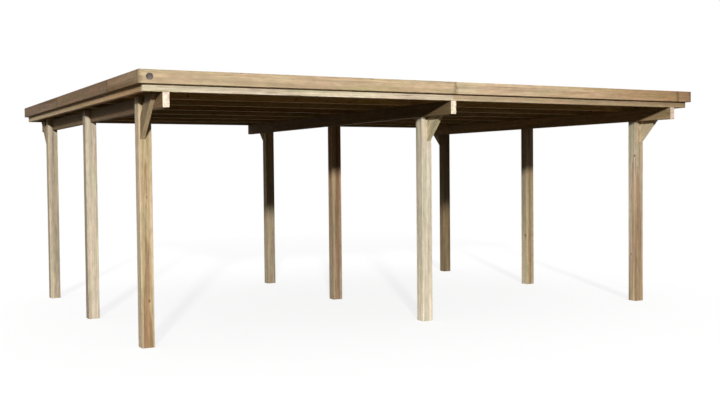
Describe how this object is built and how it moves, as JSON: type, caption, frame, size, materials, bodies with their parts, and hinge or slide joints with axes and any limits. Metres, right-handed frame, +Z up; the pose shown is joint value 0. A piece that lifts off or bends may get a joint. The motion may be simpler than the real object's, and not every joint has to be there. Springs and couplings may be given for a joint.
{
  "type": "double timber carport",
  "caption": "Open timber carport for two cars: notched posts, purlins, knee braces, rafters, rim and fascia boards under a flat ribbed-sheet roof.",
  "frame": {"origin": "centre of the footprint, on the ground that the posts stand on", "axes": "+X to the right along the front, +Y towards the back, +Z up"},
  "size_m": [6.235, 5.287, 2.385],
  "materials": {
    "post_timber": "planed pressure-treated pine, pale with orange and greenish streaks",
    "beam_timber": "planed pressure-treated pine",
    "rafter_timber": "planed pressure-treated pine, brown",
    "fascia_timber": "planed pressure-treated pine, tan",
    "disc_metal": "plain dull metal",
    "roof_sheet": "grey coated steel sheet"
  },
  "bodies": {
    "root": {"post_front_left": "post_timber", "post_front_middle": "post_timber", "post_front_right": "post_timber", "post_centre_left": "post_timber", "post_centre_middle": "post_timber", "post_centre_right": "post_timber", "post_back_left": "post_timber", "post_back_middle": "post_timber", "post_back_right": "post_timber", "purlin_left": "beam_timber", "purlin_middle": "beam_timber", "purlin_right": "beam_timber", "brace_front_left": "beam_timber", "brace_front_middle": "beam_timber", "brace_front_right": "beam_timber", "brace_back_left": "beam_timber", "brace_back_middle": "beam_timber", "brace_back_right": "beam_timber", "rafter_1": "rafter_timber", "rafter_2": "rafter_timber", "rafter_3": "rafter_timber", "rafter_4": "rafter_timber", "rafter_5": "rafter_timber", "rafter_6": "rafter_timber", "rim_front_left": "beam_timber", "rim_front_right": "beam_timber", "rim_back_left": "beam_timber", "rim_back_right": "beam_timber", "rim_side_left": "beam_timber", "rim_side_right": "beam_timber", "fascia_front_left": "fascia_timber", "fascia_front_right": "fascia_timber", "fascia_front_end": "fascia_timber", "fascia_left_front": "fascia_timber", "fascia_left_middle": "fascia_timber", "fascia_left_back": "fascia_timber", "fascia_right_front": "fascia_timber", "fascia_right_middle": "fascia_timber", "fascia_right_back": "fascia_timber", "fascia_back_left": "fascia_timber", "fascia_back_right": "fascia_timber", "corner_disc": "disc_metal", "roof_sheets_under": "roof_sheet", "roof_sheets_over": "roof_sheet"}
  },
  "joints": []
}
